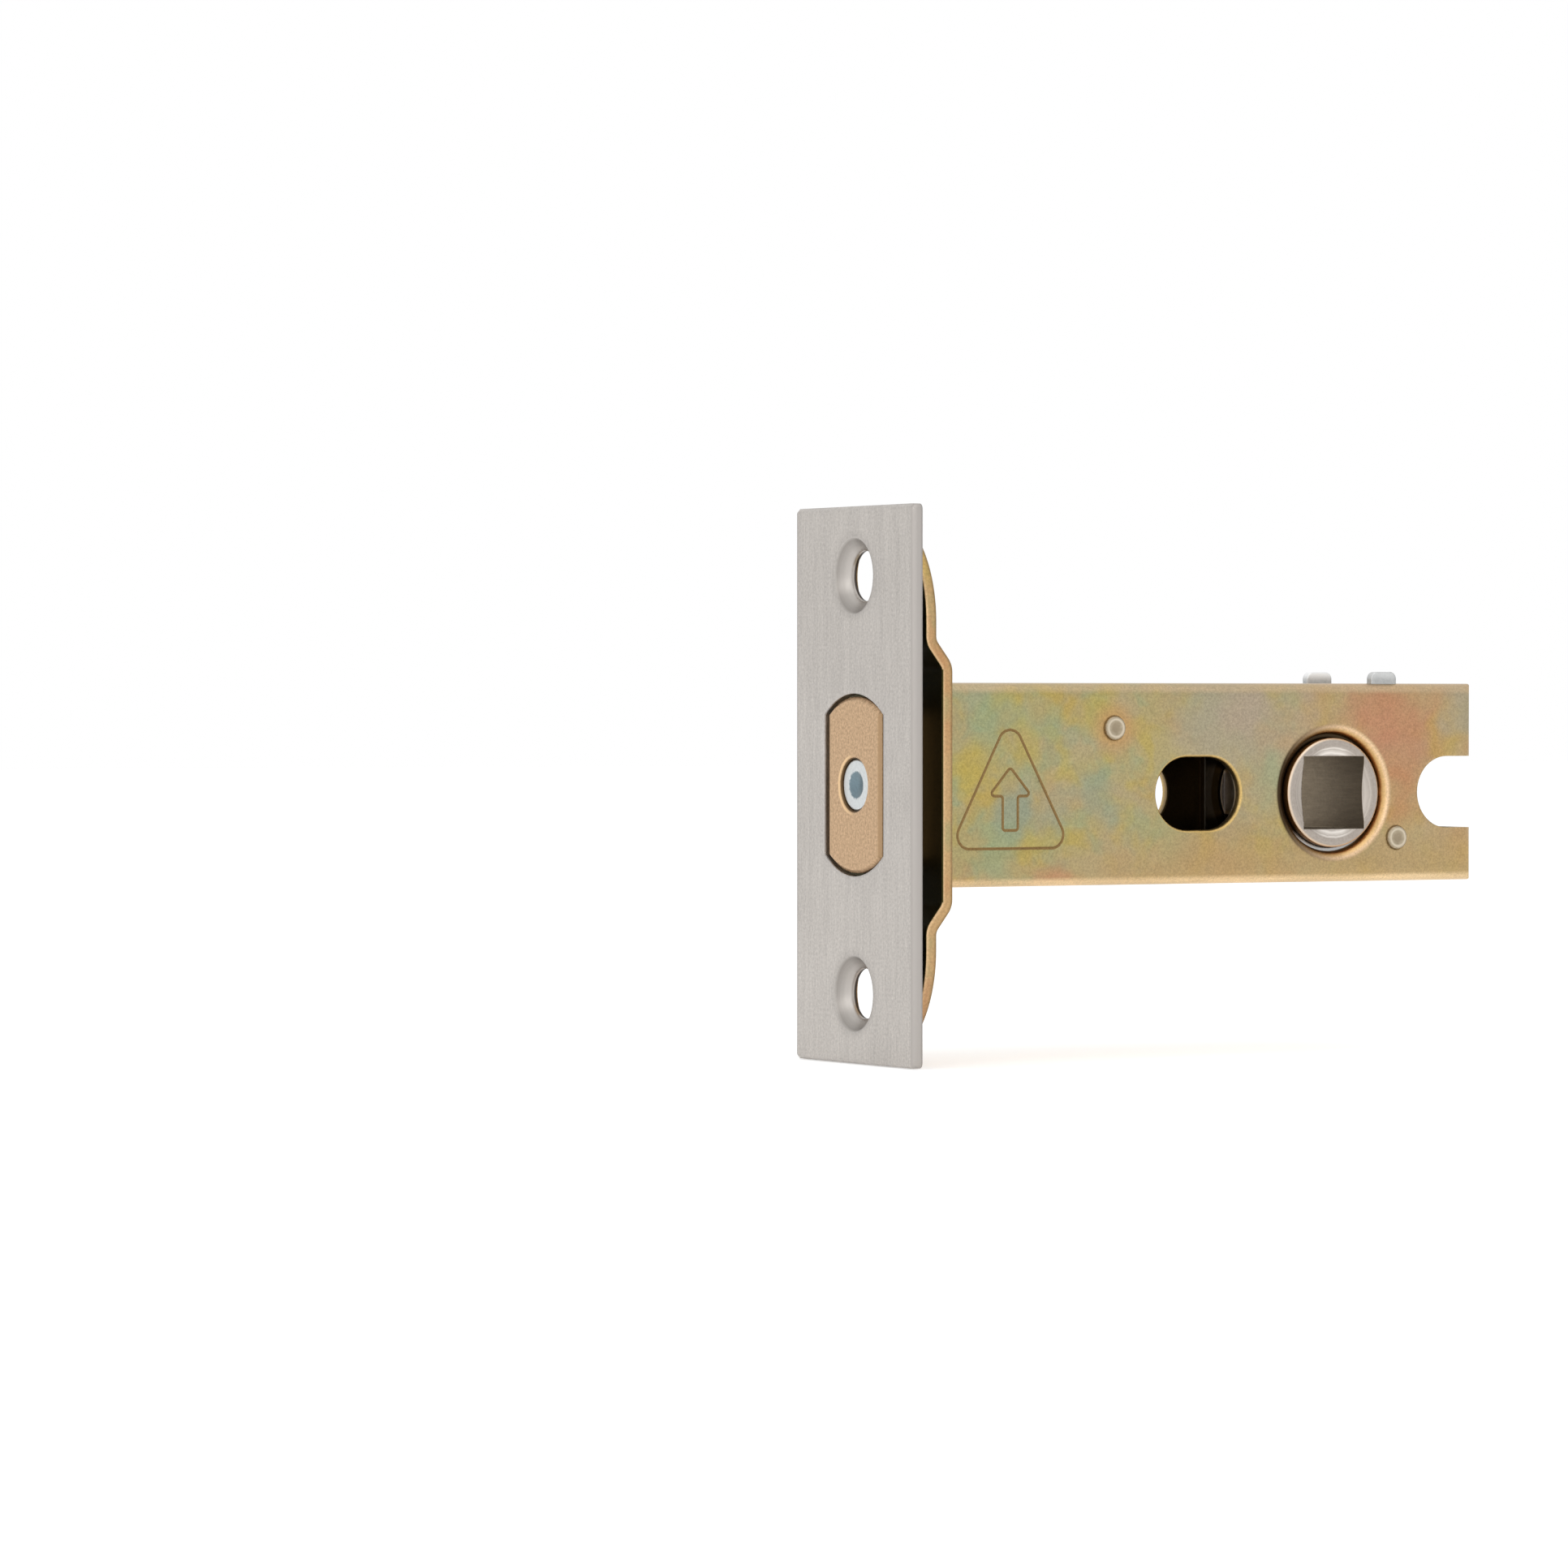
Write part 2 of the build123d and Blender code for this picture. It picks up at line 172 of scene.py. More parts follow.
def makeBrushing(broadScale=0.22, fineShare=0.7, broadShare=0.3):
    # fine streaks along one direction: Stretch squeezes the place along the brushing
    tree, g, given, out = newGroup("brushing", {"Place": origin, "Stretch": origin}, ("Streak", "Height"))
    pulled = g.vector("MULTIPLY", given["Place"], given["Stretch"])
    fine = g.times(g.noise(pulled, 1.0, detail=4.0, roughness=0.7), fineShare)
    broad = g.times(g.noise(pulled, broadScale), broadShare)
    both = g.math("ADD", fine, broad)
    g.put(g.math("SUBTRACT", both, 0.5), out["Streak"])
    g.put(both, out["Height"])
    return tree


def makeTurning(wanderPerMm=0.8, wander=0.4):
    # rings left by a lathe round an axis through Centre, Across squeezes the axis out
    inputs = {"Place": origin, "Centre": origin, "Across": (1, 1, 1), "Pitch": 0.3}
    tree, g, given, out = newGroup("turning", inputs, ("Ring", "Radius"))
    away = g.vector("SUBTRACT", given["Place"], given["Centre"])
    radius = g.vector("LENGTH", g.vector("MULTIPLY", away, given["Across"]))
    shift = g.times(g.noise(given["Place"], wanderPerMm), wander)
    turns = g.math("DIVIDE", g.math("ADD", radius, shift), given["Pitch"])
    row = g.node("ShaderNodeTexNoise", noise_dimensions="1D")
    rings = g.fill(row, {"W": turns, "Scale": 1.0, "Detail": 3.0})["Fac"]
    g.put(g.math("SUBTRACT", rings, 0.5), out["Ring"])
    g.put(radius, out["Radius"])
    return tree


def makeSoftEdge(grainShare=0.08, wearSpan=(0.02, 0.16)):
    # rounds sharp edges in the shading, and gives 1 on the edges and 0 on the faces
    tree, g, given, out = newGroup("softEdge", {"Width": 0.3, "Grain": 0.0}, ("Wear", "Normal"))
    bevel = g.node("ShaderNodeBevel", g.times(given["Width"], mm), samples=6).outputs[0]
    face = g.node("ShaderNodeNewGeometry").outputs["Normal"]
    turn = g.math("SUBTRACT", 1.0, g.vector("DOT_PRODUCT", bevel, face))
    ragged = g.math("ADD", turn, g.times(given["Grain"], grainShare))
    g.put(g.spread(ragged, *wearSpan), out["Wear"])
    g.put(bevel, out["Normal"])
    return tree


def makePocket(fade=0.02):
    # 1 inside a box given by its centre and half sizes, 0 outside it
    inputs = {"Place": origin, "Centre": origin, "Half": (1, 1, 1)}
    tree, g, given, out = newGroup("pocket", inputs, ("Mask",))
    away = g.vector("ABSOLUTE", g.vector("SUBTRACT", given["Place"], given["Centre"]))
    x, y, z = g.split(g.vector("SUBTRACT", given["Half"], away))
    room = g.math("MINIMUM", g.math("MINIMUM", x, y), z)
    g.put(g.spread(room, 0.0, fade), out["Mask"])
    return tree


fineGrain = makeFineGrain()
brushing = makeBrushing()
turning = makeTurning()
softEdge = makeSoftEdge()
pocket = makePocket()


def newMetal(name, roughness, metallic=1.0):
    material = bpy.data.materials.new(name)
    material.use_nodes = True
    shader = material.node_tree.nodes["Principled BSDF"]
    shader.inputs["Metallic"].default_value = metallic
    shader.inputs["Roughness"].default_value = roughness
    return material, Graph(material.node_tree), shader


def startMetal(name, look):
    # a metal with its grain and its soft edges
    material, g, shader = newMetal(name, look["roughness"])
    place = g.place()
    grain = g.group(fineGrain, Place=place, Size=look["grainSize"])
    edge = g.group(softEdge, Width=look["edgeWidth"], Grain=grain["Grain"])
    return material, g, shader, place, grain, edge


def roughen(g, shader, look, value, reach=0.3, less=0.06, more=0.1):
    # roughness that follows the grain or the streaks
    middle = look["roughness"]
    g.put(g.around(value, middle - less, middle + more, reach), shader.inputs["Roughness"])


def bump(g, shader, height, strength, normal, depth=0.02):
    made = g.node("ShaderNodeBump")
    values = {"Strength": strength, "Distance": depth * mm, "Height": height, "Normal": normal}
    g.put(g.fill(made, values)[0], shader.inputs["Normal"])


def radiusFrom(g, place, axis=origin, across=roundY):
    return g.vector("LENGTH", g.vector("SUBTRACT", g.vector("MULTIPLY", place, across), axis))


def inBox(g, place, centre, half):
    return g.group(pocket, Place=place, Centre=centre, Half=half)["Mask"]


print("shader groups:", len(bpy.data.node_groups))


# in the finishes lengths are in millimetres, shares run from 0 to 1,
# and a span is where an effect begins and where it ends

# Satin stainless forend, brushed from top to bottom

satinSteel = {
    "colour": (0.635, 0.597, 0.557),
    "dark": (0.41, 0.383, 0.357),
    "worn": (0.58, 0.555, 0.53),
    "wornShare": 0.4,
    "edgeWidth": 0.55,
    "stretch": (2.5, 4.2, 0.26),
    "streakShades": (0.1, 0.8),
    "cloudPerMm": 0.12,
    "cloudShare": 0.3,
    "grainSize": 0.3,
    "grainShare": 1.7,
    "toneDrop": 0.15,
    "screwAt": (0.0, 0.0, 22.5),
    "ringPitch": 0.22,
    "ringShades": (0.0, 0.75),
    "sinkEdge": (3.9, 4.15),
    "sinkShare": 0.8,
    "sinkSpan": (2.9, 3.9),
    "sinkLow": (0.52, 0.487, 0.455),
    "sinkHigh": (0.31, 0.287, 0.265),
    "surroundShadeSpan": (4.0, 5.2),
    "surroundShadeShare": 0.3,
    "side": (0.445, 0.415, 0.39),
    "sideSpan": (11.9, 12.2),
    "neckShade": (0.07, 0.055, 0.045),
    "neckSpan": (1.65, 1.75),
    "roughness": 0.38,
    "relief": 0.12,
}


def makeSatinSteel(look):
    material, g, shader = newMetal("satinSteel", look["roughness"])
    place = g.place()
    brushed = g.group(brushing, Place=place, Stretch=look["stretch"])
    streak = brushed["Streak"]
    grain = g.group(fineGrain, Place=place, Size=look["grainSize"])["Grain"]
    edge = g.group(softEdge, Width=look["edgeWidth"], Grain=streak)
    cloud = g.times(g.noise(place, look["cloudPerMm"]), look["cloudShare"])
    tone = g.math("ADD", g.around(streak, *look["streakShades"]), cloud)
    tone = g.math("ADD", tone, g.times(grain, look["grainShare"]))
    # the countersinks show rings of the drill instead of streaks of the belt
    folded = g.vector("ABSOLUTE", place)
    turned = g.group(turning, Place=folded, Centre=look["screwAt"], Across=roundX, Pitch=look["ringPitch"])
    radius = turned["Radius"]
    sink = g.spread(radius, *look["sinkEdge"], 1.0, 0.0)
    tone = g.mix(sink, tone, g.around(turned["Ring"], *look["ringShades"], reach=0.25))
    steel = g.mix(g.math("SUBTRACT", tone, look["toneDrop"], clamp=True), look["dark"], look["colour"])
    # painted shade in the countersinks, lighter towards the hole, and a fainter ring of painted shade
    # round each
    sinkShade = g.mix(g.spread(radius, *look["sinkSpan"]), look["sinkLow"], look["sinkHigh"])
    steel = g.mix(g.times(sink, look["sinkShare"]), steel, sinkShade)
    surroundShade = g.spread(radius, *look["surroundShadeSpan"], look["surroundShadeShare"], 0.0, smooth=True)
    steel = g.mix(surroundShade, steel, sinkShade)
    steel = g.mix(g.times(edge["Wear"], look["wornShare"]), steel, look["worn"])
    # painted shade on the forend's sides
    depth, aside = g.split(folded)[:2]
    steel = g.mix(g.spread(aside, *look["sideSpan"], smooth=True), steel, look["side"])
    # painted shade deep in each countersink's neck
    neckShade = g.times(sink, g.spread(depth, *look["neckSpan"]))
    g.put(g.mix(neckShade, steel, look["neckShade"]), shader.inputs["Base Color"])
    roughen(g, shader, look, streak, reach=0.25, less=0.07)
    bump(g, shader, brushed["Height"], look["relief"], edge["Normal"])
    return material


# Inside of the case, dark with painted shade

paintedShadeRoom = {
    "centre": (36.0, 0.0, 0.0),
    "half": (38.85, 6.85, 9.85),
    "worksHalf": (38.85, 6.75, 9.85),
    "colour": (0.075, 0.05, 0.02),
}


# Yellow passivated zinc: clouds of interference colour over a ground that warms to the rear

yellowZinc = {
    "tints": {
        "teal": (0.285, 0.355, 0.205),
        "olive": (0.365, 0.35, 0.17),
        "yellow": (0.47, 0.36, 0.08),
        "pink": (0.42, 0.33, 0.25),
        "orange": (0.48, 0.225, 0.10),
        "slate": (0.285, 0.315, 0.225),
        "silver": (0.375, 0.33, 0.235),
        "rose": (0.475, 0.235, 0.135),
    },
    "patchShift": 31.0,
    "wobble": 11.0,
    "wobblePerMm": 0.2,
    "spotCore": 0.1,
    "edge": (0.70, 0.51, 0.25),
    "sand": ((0.3, (0.80, 0.80, 0.80)), (0.7, (1.17, 1.17, 1.17))),
    "roughness": 0.36,
    "relief": 0.18,
}


def makeFilm(g, place, look):
    # the ground, patches with a share at the front and one at the rear, then the marked spots
    along = g.split(place)[0]
    film = g.mix(g.spread(along, *look["span"]), look["front"], look["rear"])
    for index, (tint, perMm, limits, shares) in enumerate(look["patches"]):
        moved = g.vector("ADD", place, (look["patchShift"] * index, 0, 0))
        cloud = g.spread(g.noise(moved, perMm, distortion=0.3), *limits, smooth=True)
        amount = g.times(cloud, g.spread(along, *look["span"], *shares))
        film = g.mix(amount, film, look["tints"][tint])
    wobble = g.math("SUBTRACT", g.noise(place, look["wobblePerMm"]), 0.5)
    wobble = g.times(wobble, look["wobble"])  # gives the spots ragged outlines
    for (x, z), reach, tint, share in look["spots"]:
        away = g.math("ADD", radiusFrom(g, place, (x, 0, z)), wobble)
        amount = g.spread(away, reach, look["spotCore"] * reach, 0.0, share, smooth=True)
        film = g.mix(amount, film, look["tints"][tint])
    return film


def finishZinc(g, shader, skin, grain, edge, look):
    skin = g.mix(1.0, skin, g.ramp(grain["Height"], look["sand"]), "MULTIPLY")
    g.put(skin, shader.inputs["Base Color"])
    roughen(g, shader, look, grain["Grain"])
    bump(g, shader, grain["Height"], look["relief"], edge["Normal"])


# patches: tint, patches per mm, limits of the noise, shares at the front and the rear
# spots: place along and up, reach, tint, share
caseFilm = {
    "grainSize": 0.22,
    "edgeWidth": 0.35,
    "span": (5.0, 76.0),
    "front": (0.385, 0.345, 0.165),
    "rear": (0.455, 0.335, 0.17),
    "patches": (
        ("teal", 0.30, (0.47, 0.66), (0.7, 0.1)),
        ("yellow", 0.26, (0.48, 0.66), (0.7, 0.25)),
        ("pink", 0.15, (0.42, 0.66), (0.3, 0.4)),
        ("orange", 0.12, (0.46, 0.68), (0.15, 0.35)),
    ),
    "spots": (
        ((12.3, 7.0), 4.8, "teal", 0.65),
        ((19.5, 6.6), 3.2, "teal", 0.55),
        ((10.2, 1.8), 4.2, "yellow", 0.75),
        ((16.2, 4.0), 3.2, "yellow", 0.55),
        ((15.2, -3.2), 4.4, "slate", 0.85),
        ((20.6, -4.0), 4.6, "slate", 0.8),
        ((26.0, -1.2), 4.6, "slate", 0.6),
        ((13.2, -7.9), 4.4, "teal", 0.7),
        ((25.0, 6.6), 4.2, "yellow", 0.55),
        ((44.0, 6.0), 12.5, "silver", 0.85),
        ((46.0, 7.4), 4.6, "pink", 0.6),
        ((48.6, 1.0), 5.2, "teal", 0.5),
        ((36.0, -5.8), 5.0, "teal", 0.4),
        ((53.5, 8.8), 4.5, "pink", 0.5),
        ((65.0, 5.5), 10.0, "rose", 0.95),
        ((66.2, -0.8), 6.0, "orange", 0.45),
        ((72.3, 4.8), 3.6, "yellow", 0.4),
        ((75.6, 7.6), 4.2, "silver", 0.75),
        ((42.0, -9.5), 8.0, "orange", 0.35),
        ((20.5, -10.6), 4.6, "rose", 0.8),
        ((8.2, -10.6), 3.6, "rose", 0.6),
    ),
    "low": (0.45, 0.31, 0.135),
    "lowSpan": (-2.0, -9.0),
    "lowShare": 0.6,
    "lowAlong": (18.0, 36.0),
    "lowFade": (0.2, 1.0),
    "heat": (0.50, 0.30, 0.13),
    "heatSpan": (1.2, 3.8),
    "heatShare": 0.8,
    "sheenStretch": (0.12, 1, 1),
    "sheenPerMm": 0.8,
    "sheenLimits": (0.3, 0.7),
    "sheenShares": (0.55, 1.0),
    "topBendHighlight": (0.57, 0.43, 0.27),
    "topSpan": (9.7, 10.4),
    "topShare": 0.8,
    "bottomBendHighlight": (0.84, 0.63, 0.37),
    "bottomSpan": (-9.9, -10.6),
    "lip": ((0.0, (0.30, 0.16, 0.06)), (0.2, (0.52, 0.31, 0.12)), (0.4, (0.64, 0.42, 0.19)),
            (0.64, (0.78, 0.55, 0.34)), (0.88, (0.56, 0.39, 0.22))),
    "lipSpan": (6.4, 7.8),
    "lipEdge": (7.4, 7.8),
    "lipShade": (0.05, 0.03, 0.012),
    "lipAlong": (50.5, 59.0),
    "wornShare": 0.5,
    "slotAt": (39.1, 0.0, -1.1),
    "slotFlat": (1.5, 0.0, 0.0),
    "slotEdge": (4.15, 4.3),
    "slotShare": 0.8,
    "slotRimHighlight": (0.70, 0.48, 0.17),
    "slotWallShade": (0.17, 0.105, 0.045),
    "slotDepth": (7.1, 7.9),
    "grooveShade": (0.25, 0.16, 0.065),
    "grooveCentre": (15.0, -7.8, 0.0),
    "grooveHalf": (10.0, 0.19, 9.0),
}


def makeCaseZinc(look):
    material, g, shader, place, grain, edge = startMetal("caseZinc", look)
    skin = makeFilm(g, place, look)
    along, across, up = g.split(place)
    # warmer towards the lower edge, less so at the front
    low = g.spread(up, *look["lowSpan"], 0.0, look["lowShare"], smooth=True)
    low = g.times(low, g.spread(along, *look["lowAlong"], *look["lowFade"]))
    skin = g.mix(low, skin, look["low"])
    # heat of the peening turns the film orange round the front rivet
    heat = radiusFrom(g, place, frontRivetAt)
    heat = g.spread(heat, *look["heatSpan"], look["heatShare"], 0.0, smooth=True)
    skin = g.mix(heat, skin, look["heat"])
    # painted highlights on the bends, broken into patches, brighter on the lower bend
    sheenPatches = g.noise(g.vector("MULTIPLY", place, look["sheenStretch"]), look["sheenPerMm"])
    sheenPatches = g.spread(sheenPatches, *look["sheenLimits"], *look["sheenShares"])
    top = g.times(g.spread(up, *look["topSpan"], smooth=True), sheenPatches)
    skin = g.mix(g.times(top, look["topShare"]), skin, look["topBendHighlight"])
    bottom = g.times(g.spread(up, *look["bottomSpan"], smooth=True), sheenPatches)
    skin = g.mix(bottom, skin, look["bottomBendHighlight"])
    # painted highlight and painted shade on the rolled lip: a bright ring on the side away from the
    # forend, dark at its inner edge and on the side towards the forend
    radius = radiusFrom(g, place, spindleAt)
    lip = g.ramp(g.spread(radius, *look["lipSpan"]), look["lip"])
    lip = g.mix(g.spread(along, *look["lipAlong"]), look["lipShade"], lip)
    skin = g.mix(g.spread(radius, *look["lipEdge"], 1.0, 0.0, smooth=True), skin, lip)
    skin = g.mix(g.times(edge["Wear"], look["wornShare"]), skin, look["edge"])
    # painted shade on the slot's wall, and a painted golden highlight on its outer rim
    beside = g.vector("SUBTRACT", g.vector("MULTIPLY", place, roundY), look["slotAt"])
    beside = g.vector("SUBTRACT", g.vector("ABSOLUTE", beside), look["slotFlat"])
    beside = g.vector("LENGTH", g.vector("MAXIMUM", beside, origin))
    rim = g.spread(beside, *look["slotEdge"], look["slotShare"], 0.0)
    outer = g.spread(g.math("ABSOLUTE", across), *look["slotDepth"])
    skin = g.mix(rim, skin, g.mix(outer, look["slotWallShade"], look["slotRimHighlight"]))
    # painted shade in the stamped grooves
    grooveShade = inBox(g, place, look["grooveCentre"], look["grooveHalf"])
    skin = g.mix(grooveShade, skin, look["grooveShade"])
    # painted shade over the inside of the case
    insideShade = inBox(g, place, paintedShadeRoom["centre"], paintedShadeRoom["half"])
    skin = g.mix(insideShade, skin, paintedShadeRoom["colour"])
    finishZinc(g, shader, skin, grain, edge, look)
    return material


strapFilm = {
    "grainSize": 0.27,
    "edgeWidth": 0.6,
    "span": (0.0, 5.0),
    "front": (0.51, 0.32, 0.165),
    "rear": (0.54, 0.355, 0.17),
    "patches": (
        ("orange", 0.12, (0.45, 0.65), (0.5, 0.5)),
        ("olive", 0.20, (0.50, 0.68), (0.6, 0.6)),
    ),
    "spots": (
        ((2.0, 24.0), 6.0, "yellow", 0.45),
        ((2.0, -24.0), 6.0, "rose", 0.45),
    ),
    "arrisHighlight": (0.74, 0.51, 0.29),
    "arrisHighlightTilt": (-0.04, -0.35),
    "arrisHighlightShare": 0.9,
    "arrisShade": (0.35, 0.225, 0.10),
    "arrisShadeTilt": (0.04, 0.35),
    "arrisShadeShare": 0.85,
    "gapShade": (0.085, 0.072, 0.025),
    "gapCentre": (2.6, 0.0, 0.0),
    "gapHalf": (1.25, 12.6, 12.4),
    "innerTilt": (-0.4, -0.6),
}


def makeStrapZinc(look):
    material, g, shader, place, grain, edge = startMetal("strapZinc", look)
    skin = makeFilm(g, place, look)
    # painted highlight on the arris towards the forend, and painted shade on the one behind it
    face = g.node("ShaderNodeNewGeometry").outputs["Normal"]
    tilt = g.split(g.vector("SUBTRACT", edge["Normal"], face))[0]
    skin = g.mix(g.spread(tilt, *look["arrisHighlightTilt"], 0.0, look["arrisHighlightShare"]), skin, look["arrisHighlight"])
    skin = g.mix(g.spread(tilt, *look["arrisShadeTilt"], 0.0, look["arrisShadeShare"]), skin, look["arrisShade"])
    # painted shade on what faces the forend and in the gap behind it
    gapShade = inBox(g, place, look["gapCentre"], look["gapHalf"])
    inner = g.spread(g.split(face)[0], *look["innerTilt"])
    skin = g.mix(g.math("MAXIMUM", gapShade, inner), skin, look["gapShade"])
    finishZinc(g, shader, skin, grain, edge, look)
    return material


# Sintered brass bolt: granular nose, sides smoothed by sliding

mattBrass = {
    "colour": (0.71, 0.50, 0.315),
    "dark": (0.41, 0.275, 0.16),
    "worn": (0.70, 0.52, 0.33),
    "wornShare": 0.5,
    "grainSize": 0.3,
    "edgeWidth": 0.25,
    "smoothSpan": (0.3, 1.3),
    "smoothGrain": 0.45,
    "noseSpan": (0.5, 0.3),
    "flankShade": (0.36, 0.235, 0.13),
    "flankSpan": (-5.05, -5.2),
    "flankShare": 0.8,
    "mouthShade": (0.16, 0.10, 0.05),
    "mouthSpan": (3.0, 2.93),
    "boreHighlight": (0.86, 0.62, 0.36),
    "boreHighlightRadius": 3.15,
    "boreHighlightSpan": (0.2, 0.05),
    "boreHighlightAcross": (-0.5, 2.0),
    "roughness": 0.5,
    "relief": 0.3,
}


def makeMattBrass(look):
    material, g, shader, place, grain, edge = startMetal("mattBrass", look)
    along, across = g.split(place)[:2]
    tone = g.times(grain["Grain"], g.spread(along, *look["smoothSpan"], 1.0, look["smoothGrain"]))
    brass = g.mix(g.around(tone, reach=0.18), look["dark"], look["colour"])
    brass = g.mix(g.times(edge["Wear"], look["wornShare"]), brass, look["worn"])
    # painted shade on the nose's right edge and in the mouth of the pin's bore, and a painted highlight
    # round the bore on the left
    nose = g.spread(along, *look["noseSpan"])
    flankShade = g.times(g.spread(across, *look["flankSpan"]), nose)
    brass = g.mix(g.times(flankShade, look["flankShare"]), brass, look["flankShade"])
    radius = radiusFrom(g, place, across=roundX)
    boreHighlight = g.math("ABSOLUTE", g.math("SUBTRACT", radius, look["boreHighlightRadius"]))
    boreHighlight = g.times(g.spread(boreHighlight, *look["boreHighlightSpan"]), g.spread(across, *look["boreHighlightAcross"], smooth=True))
    brass = g.mix(g.times(boreHighlight, nose), brass, look["boreHighlight"])
    brass = g.mix(g.spread(radius, *look["mouthSpan"]), brass, look["mouthShade"])
    g.put(brass, shader.inputs["Base Color"])
    roughen(g, shader, look, grain["Grain"], less=0.08)
    bump(g, shader, tone, look["relief"], edge["Normal"])
    return material


# Plated pin: white ring, with a painted blue grey reflection in the dimple

platedPin = {
    "ring": (0.70, 0.73, 0.73),
    "dimple": (0.19, 0.26, 0.295),
    "dimpleSpan": (1.35, 1.6),
    "ragged": 0.5,
    "grainSize": 0.3,
    "edgeWidth": 0.2,
    "sand": ((0.3, (0.85, 0.85, 0.85)), (0.7, (1, 1, 1))),
    "roughness": 0.42,
    "relief": 0.15,
}


def makePlatedPin(look):
    material, g, shader, place, grain, edge = startMetal("platedPin", look)
    radius = radiusFrom(g, place, across=roundX)
    rim = g.math("ADD", radius, g.times(grain["Grain"], look["ragged"]))
    bowl = g.spread(rim, *look["dimpleSpan"], 1.0, 0.0, smooth=True)
    # painted reflection in the dimple
    tone = g.mix(bowl, look["ring"], look["dimple"])
    shade = g.ramp(grain["Height"], look["sand"])
    g.put(g.mix(1.0, tone, shade, "MULTIPLY"), shader.inputs["Base Color"])
    bump(g, shader, grain["Height"], look["relief"], edge["Normal"])
    return material


# Follower: turned nickel face, with painted shade in its broached square

dullNickel = {
    "colour": (0.455, 0.405, 0.36),
    "dark": (0.35, 0.305, 0.265),
    "toneSpan": (-0.25, 0.2),
    "worn": (0.62, 0.57, 0.51),
    "wornShare": 0.5,
    "grainSize": 0.3,
    "edgeWidth": 0.22,
    "ringPitch": 0.3,
    "ringShare": 0.6,
    "dish": (0.50, 0.45, 0.40),
    "dishSpan": (5.15, 4.95),
    "dishShades": (0.35, 1.0),
    "glint": (0.80, 0.75, 0.69),
    "glintSpan": (4.05, 4.15),
    "glintAcross": (3.0, 1.0),
    "rim": (0.78, 0.64, 0.50),
    "rimSpan": (5.8, 5.9),
    "side": (0.045, 0.027, 0.012),
    "sideSpan": (6.0, 6.03),
    "sideReflection": (0.60, 0.31, 0.11),
    "reflectionDepth": (6.7, 7.6),
    "square": (0.24, 0.19, 0.13),
    "squareDark": (0.16, 0.125, 0.083),
    "squareHalf": (4.05, 9.0, 4.05),
    "broachStretch": (3.0, 0.3, 3.0),
    "roughness": 0.42,
    "relief": 0.2,
}


def makeDullNickel(look):
    material, g, shader, place, grain, edge = startMetal("dullNickel", look)
    turned = g.group(turning, Place=place, Centre=spindleAt, Across=roundY, Pitch=look["ringPitch"])
    ring = turned["Ring"]
    radius = turned["Radius"]
    tone = g.math("ADD", grain["Grain"], g.times(ring, look["ringShare"]))
    metal = g.mix(g.spread(tone, *look["toneSpan"]), look["dark"], look["colour"])
    metal = g.mix(g.times(edge["Wear"], look["wornShare"]), metal, look["worn"])
    # painted glints on the dish round the square, above and below it
    across, depth, up = g.split(g.vector("ABSOLUTE", g.vector("SUBTRACT", place, spindleAt)))
    glint = g.times(g.spread(up, *look["glintSpan"]), g.spread(across, *look["glintAcross"], smooth=True))
    dish = g.times(g.spread(radius, *look["dishSpan"]), g.around(ring, *look["dishShades"]))
    metal = g.mix(dish, metal, g.mix(glint, look["dish"], look["glint"]))
    # a painted highlight on the face's outer edge
    metal = g.mix(g.spread(radius, *look["rimSpan"]), metal, look["rim"])
    # painted shade on the round wall, with a painted reflection of the lip's colour at its outside
    side = g.mix(g.spread(depth, *look["reflectionDepth"], smooth=True), look["side"], look["sideReflection"])
    metal = g.mix(g.spread(radius, *look["sideSpan"]), metal, side)
    # painted shade in the broached square, streaked by the broach
    broach = g.group(brushing, Place=place, Stretch=look["broachStretch"])["Streak"]
    square = g.mix(g.around(broach), look["squareDark"], look["square"])
    metal = g.mix(inBox(g, place, spindleAt, look["squareHalf"]), metal, square)
    g.put(metal, shader.inputs["Base Color"])
    roughen(g, shader, look, grain["Grain"])
    bump(g, shader, tone, look["relief"], edge["Normal"])
    return material


# Metals that share one build: rivets, bearing plates, tail and spring

plainLook = {"edgeWidth": 0.25, "wornShare": 0.5, "oilShare": 0.85}

plainMetals = {
    "rivetSteel": {
        "colour": (0.47, 0.40, 0.29),
        "dark": (0.33, 0.27, 0.185),
        "worn": (0.55, 0.49, 0.39),
        "middle": (0.30, 0.24, 0.16),
        "middleSpan": (0.35, 0.75),
        "middleShare": 0.7,
        "ring": (0.66, 0.58, 0.45),
        "ringRadius": 0.95,
        "ringHalf": 0.2,
        "grainSize": 0.4,
        "roughness": 0.42,
        "relief": 0.6,
    },
    "brightZinc": {
        "colour": (0.50, 0.505, 0.50),
        "dark": (0.38, 0.385, 0.38),
        "worn": (0.74, 0.745, 0.74),
        "shine": (0.93, 0.935, 0.93),
        "shineSpan": (11.2, 12.2),
        "shineAcross": (-6.0, 6.0),
        "shineShares": (0.35, 0.95),
        "shade": (0.05, 0.035, 0.02),
        "shadeEdge": (7.0, 7.2),
        "shadeFrom": (-6.4, -5.2),
        "grainSize": 0.5,
        "roughness": 0.36,
        "relief": 0.25,
    },
    "tailSteel": {
        "colour": (0.40, 0.38, 0.35),
        "dark": (0.28, 0.265, 0.245),
        "worn": (0.5, 0.48, 0.45),
        "grainSize": 0.4,
        "roughness": 0.42,
        "relief": 0.2,
    },
    "springSteel": {
        "colour": (0.30, 0.30, 0.31),
        "dark": (0.2, 0.2, 0.21),
        "worn": (0.42, 0.42, 0.43),
        "grainSize": 0.3,
        "roughness": 0.35,
        "relief": 0.12,
    },
}


